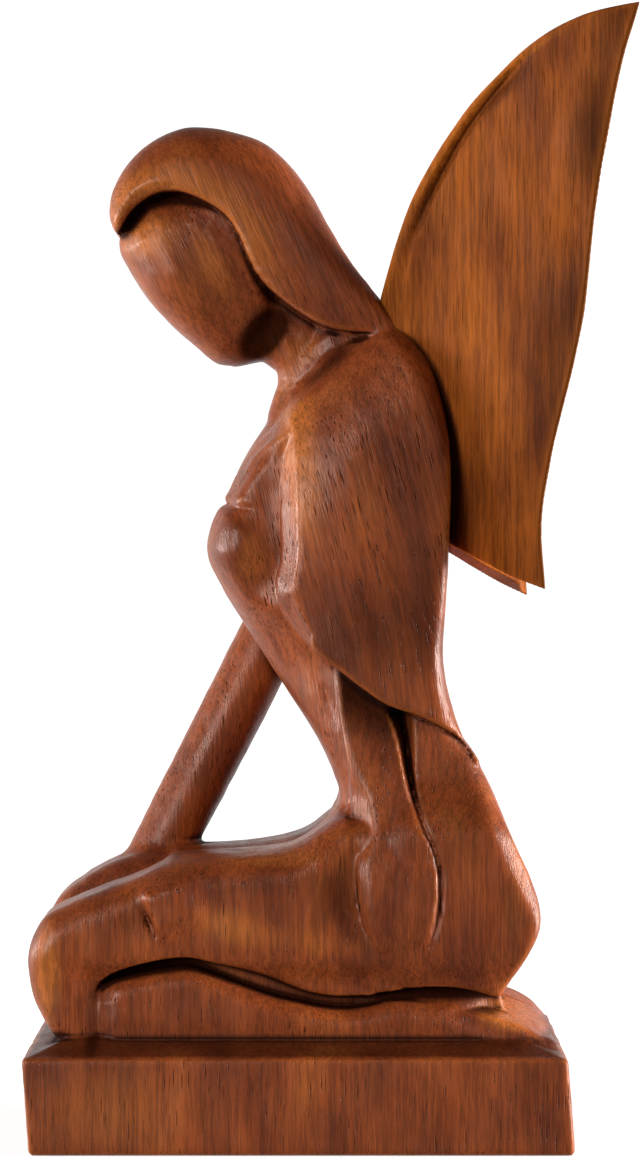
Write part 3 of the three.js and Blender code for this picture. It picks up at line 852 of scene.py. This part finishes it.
def dowel_wood():
    """Bare turned hardwood, with fine grain along the rod."""
    s = Shader("bare_dowel_wood")
    place = s.add("ShaderNodeTexCoord").outputs["Object"]
    scaled = s.add("ShaderNodeMapping", {"Vector": place, "Scale": (1 / MM, 1 / MM, 1 / MM)}).outputs[0]
    streak = s.noise(scaled, (6.0, 6.0, 0.5), 4.0, 0.6)
    tone = s.mix(s.between(streak, 0.3, 0.7), colour(150, 108, 68), colour(205, 165, 118))
    bump = s.add("ShaderNodeBump", {"Height": streak, "Distance": 0.1 * MM, "Strength": 0.6})
    rough = s.between(streak, 0.2, 0.8, 0.55, 0.75)
    surface = {"Base Color": tone, "Roughness": rough, "Normal": bump.outputs[0]}
    shader = s.add("ShaderNodeBsdfPrincipled", surface)
    s.add("ShaderNodeOutputMaterial", {"Surface": shader.outputs[0]})
    return s.material


# ---- Building the pieces ----


def drill(field, ends, axes):
    """Dowel holes in the back, from the carving's surface inwards."""
    for centre in ends:
        offset = [a - c for a, c in zip((X, Y, Z), centre)]
        outwards = sum(o * n for o, n in zip(offset, axes[0]))
        reach2 = sum(o * o for o in offset) - outwards**2
        hole = np.maximum(np.sqrt(np.maximum(reach2, 0)) - HOLE_RADIUS, np.abs(outwards) - HOLE_DEPTH)
        field = np.maximum(field, -hole)
    return field.astype(np.float32)


def grain_lean(height):
    """How far the grain has drifted along x at a height: upright in the legs, leaning further up."""
    heights = np.linspace(0, 320, 321)
    lean = np.interp(heights, [100, 150, 205, 240, 320], [0, 0.22, 0.26, 0.45, 0.5])
    return np.interp(height, heights, np.cumsum(lean))


def build_figure(solid, drilled):
    points, faces = skin(drilled, grid)
    normals = normals_at(drilled, grid, points)
    occlusion_shadow, edge = shading_of(solid, grid, points, normals)
    ripple = 0.1 * unevenness(points, 7, 40, 12) + 0.03 * unevenness(points, 8, 9, 4)
    gouged = np.clip(sum(oval(points, *mark) for mark in TOOL_MARKS), 0, 1)
    ripple = ripple + 0.2 * gouged * unevenness(points, 9, 4.5, 1.8)
    grounded = ramp(points[:, 2], 0.5, 4)
    points = points + (ripple * grounded)[:, None] * normals
    grain = points + np.stack([grain_lean(points[:, 2]), 0 * points[:, 0], 0 * points[:, 0]], axis=1)
    worn = np.clip(sum(1.8 * oval(points, *spot) for spot in WORN_SMOOTH), 0, 1)
    looks = {"grain": grain, "occlusion_shadow": occlusion_shadow, "edge": edge, "painted_light_and_tone": painted_light_of(points), "worn": worn}
    piece = make_mesh("carved_figure", points, faces, looks)
    piece.data.materials.append(carved_wood("figure_wood", FIGURE_TONES, FIGURE_FINISH))
    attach(piece, "figure")
    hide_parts("figure")


def build_wing(name, front, carving, seed):
    origin, axes, _ = wing_frame(name)
    block = Grid(*WING_BLOCK, WING_STEP)
    field = wing_field(block, axes, origin, front, carving)
    points, faces = skin(field, block)
    normals = normals_at(field, block, points)
    occlusion_shadow, edge = shading_of(field, block, points, normals)
    world = points @ axes + origin
    world_normals = normals @ axes
    # Painted shadow falls on the wing where it comes close to the back.
    nearby = sample(carving, grid, world + 3 * world_normals) / 3
    occlusion_shadow = np.clip(np.maximum(occlusion_shadow, 0.6 * (1 - nearby)), 0, 1)
    ripple = 0.1 * unevenness(world, seed, 40, 12)
    world = world + ripple[:, None] * world_normals
    grain = np.stack([points[:, 0] - 0.12 * points[:, 1], points[:, 2] + 40 * seed, points[:, 1]], axis=1)
    from_trail, _ = along_line(TRAILING, points[:, 0], points[:, 1])
    from_lead, share = along_line(LEADING, points[:, 0], points[:, 1])
    # The wing's tone wanders at random and is darker towards its trailing edge. Painted shadow darkens
    # the trailing edge itself, the valley inside the rim and the wood near the root and the back, and
    # painted light pales the rim.
    painted_light_and_tone = 0.3 * unevenness(points, seed, 90, 40) - 1.3 * ramp(from_trail, 0.8, 0.2)
    painted_light_and_tone = painted_light_and_tone - 0.4 * unevenness(points, seed + 9, 60, 25) * ramp(from_trail, 18, 4)
    painted_light_and_tone = painted_light_and_tone - 0.35 * ramp(from_trail, 14, 3)
    painted_light_and_tone = painted_light_and_tone + 0.7 * ramp(from_lead, 3.4, 2) * ramp(share, 0.9, 0.6) - 0.5 * ramp(nearby, 0.9, 0.3)
    valley = ramp(np.abs(from_lead - 4.6), 3.2, 0.6)
    valley = valley * np.interp(share, [0.05, 0.25, 0.6, 0.74], [0, 1, 1, 0])
    painted_light_and_tone = painted_light_and_tone - 0.75 * valley - 0.4 * ramp(points[:, 0], 14, -10)
    looks = {"grain": grain, "occlusion_shadow": occlusion_shadow, "edge": edge, "painted_light_and_tone": painted_light_and_tone, "worn": 0 * painted_light_and_tone}
    piece = make_mesh(f"carved_{name}", world, faces, looks)
    piece.data.materials.append(carved_wood(f"{name}_wood", WING_TONES, WING_FINISH))
    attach(piece, name)
    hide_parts(name)


def dress_dowels():
    wood = dowel_wood()
    for name, node in frame["nodes"].items():
        if "dowel" in name:
            node.data.materials.clear()
            node.data.materials.append(wood)


# ---- The studio ----


def make_studio_shell():
    """A pale floor that curves up into a dome. It is seen and takes shadows, but lights nothing."""
    radius, bend, height = 4.0, 0.8, 3.0
    profile = [(0.02, 0.0), (0.5, 0.0), (radius - bend, 0.0)]
    for step in range(1, 9):
        angle = math.radians(90 * step / 8)
        profile.append((radius - bend + bend * math.sin(angle), bend * (1 - math.cos(angle))))
    profile += [(radius, height), (0.02, height + 0.1)]
    turns = 64
    points = []
    for reach, level in profile:
        for turn in range(turns):
            angle = 2 * math.pi * turn / turns
            points.append((reach * math.cos(angle), reach * math.sin(angle), level))
    rings = len(profile)
    faces = []
    for ring in range(rings - 1):
        for turn in range(turns):
            beside = (turn + 1) % turns
            inner, outer = ring * turns, (ring + 1) * turns
            faces.append((inner + turn, inner + beside, outer + beside, outer + turn))
    faces.append(tuple(range(turns)))
    mesh = bpy.data.meshes.new("studio_shell")
    mesh.from_pydata(points, [], faces)
    shell = bpy.data.objects.new("studio_shell", mesh)
    bpy.context.scene.collection.objects.link(shell)
    shell.visible_diffuse = False
    shell.visible_glossy = False
    shell.visible_shadow = False
    s = Shader("floor_with_painted_shadow")
    place = s.add("ShaderNodeTexCoord").outputs["Object"]
    reach = s.add("ShaderNodeVectorMath", {0: place}, operation="LENGTH").outputs["Value"]
    surface = {
        "Base Color": (0.6, 0.6, 0.6, 1.0), "Roughness": 0.9, "Specular IOR Level": 0.0,
        "Emission Color": (1.0, 1.0, 1.0, 1.0),
        # The floor glows evenly, dimmed round the plinth in a painted contact shadow.
        "Emission Strength": s.between(reach, 0.08, 0.2, 0.74, 0.99),
    }
    shader = s.add("ShaderNodeBsdfPrincipled", surface)
    s.add("ShaderNodeOutputMaterial", {"Surface": shader.outputs[0]})
    mesh.materials.append(s.material)


def add_light(name, place, target, size, power):
    light = bpy.data.lights.new(name, "AREA")
    light.shape = "RECTANGLE"
    light.size, light.size_y = size
    light.energy = power
    lamp = bpy.data.objects.new(name, light)
    lamp.location = place
    lamp.rotation_mode = "QUATERNION"
    lamp.rotation_quaternion = (Vector(target) - Vector(place)).to_track_quat("-Z", "Y")
    bpy.context.scene.collection.objects.link(lamp)


def make_world():
    """Soft light from all round: bright behind the figure, dim overhead and on the camera's side."""
    world = bpy.data.worlds.new("studio")
    world.use_nodes = True
    tree = world.node_tree
    tree.nodes.clear()
    direction = tree.nodes.new("ShaderNodeTexCoord")
    parts = tree.nodes.new("ShaderNodeSeparateXYZ")
    tree.links.new(direction.outputs["Generated"], parts.inputs[0])

    def fade(output, start, end, low, high):
        node = tree.nodes.new("ShaderNodeMapRange")
        node.interpolation_type = "SMOOTHSTEP"
        for key, value in zip(("From Min", "From Max", "To Min", "To Max"), (start, end, low, high)):
            node.inputs[key].default_value = value
        tree.links.new(parts.outputs[output], node.inputs[0])
        return node.outputs[0]

    product = tree.nodes.new("ShaderNodeMath")
    product.operation = "MULTIPLY"
    tree.links.new(fade("Y", -0.3, 0.6, CAMERA_SIDE_LIGHT, BACKDROP_LIGHT), product.inputs[0])
    tree.links.new(fade("Z", 0.15, 0.75, 1.0, OVERHEAD_SHARE), product.inputs[1])
    background = tree.nodes.new("ShaderNodeBackground")
    background.inputs["Color"].default_value = (1.0, 1.0, 1.0, 1.0)
    tree.links.new(product.outputs[0], background.inputs["Strength"])
    output = tree.nodes.new("ShaderNodeOutputWorld")
    tree.links.new(background.outputs[0], output.inputs[0])
    bpy.context.scene.world = world


def make_camera():
    """Level with the bust, looking square at the left side."""
    data = bpy.data.cameras.new("camera")
    data.sensor_width = SENSOR
    data.lens = LENS
    data.shift_y = -SHIFT_DOWN
    data.clip_start = 0.01
    camera = bpy.data.objects.new("camera", data)
    camera.location = CAMERA_PLACE
    camera.rotation_euler = (math.radians(90), 0, 0)
    bpy.context.scene.collection.objects.link(camera)
    bpy.context.scene.camera = camera


make_camera()
make_world()
make_studio_shell()
add_light("left_softbox", (-1.0, 0.1, 0.14), (0, 0, 0.14), (0.4, 0.28), 7)
add_light("right_softbox", (1.0, -0.12, 0.16), (0, 0, 0.12), (0.36, 0.5), 21)
add_light("left_fill", (-0.75, -0.9, 0.3), (0, 0, 0.2), (0.5, 0.4), 7.5)
bpy.context.scene.view_settings.view_transform = "Standard"

solid = carving_field()
drilled = solid
for wing_name in ("wing_left", "wing_right"):
    _, wing_axes, dowel_centres = wing_frame(wing_name)
    drilled = drill(drilled, dowel_centres, wing_axes)
build_figure(solid, drilled)
build_wing("wing_left", 1, solid, 3)
build_wing("wing_right", -1, solid, 4)
dress_dowels()
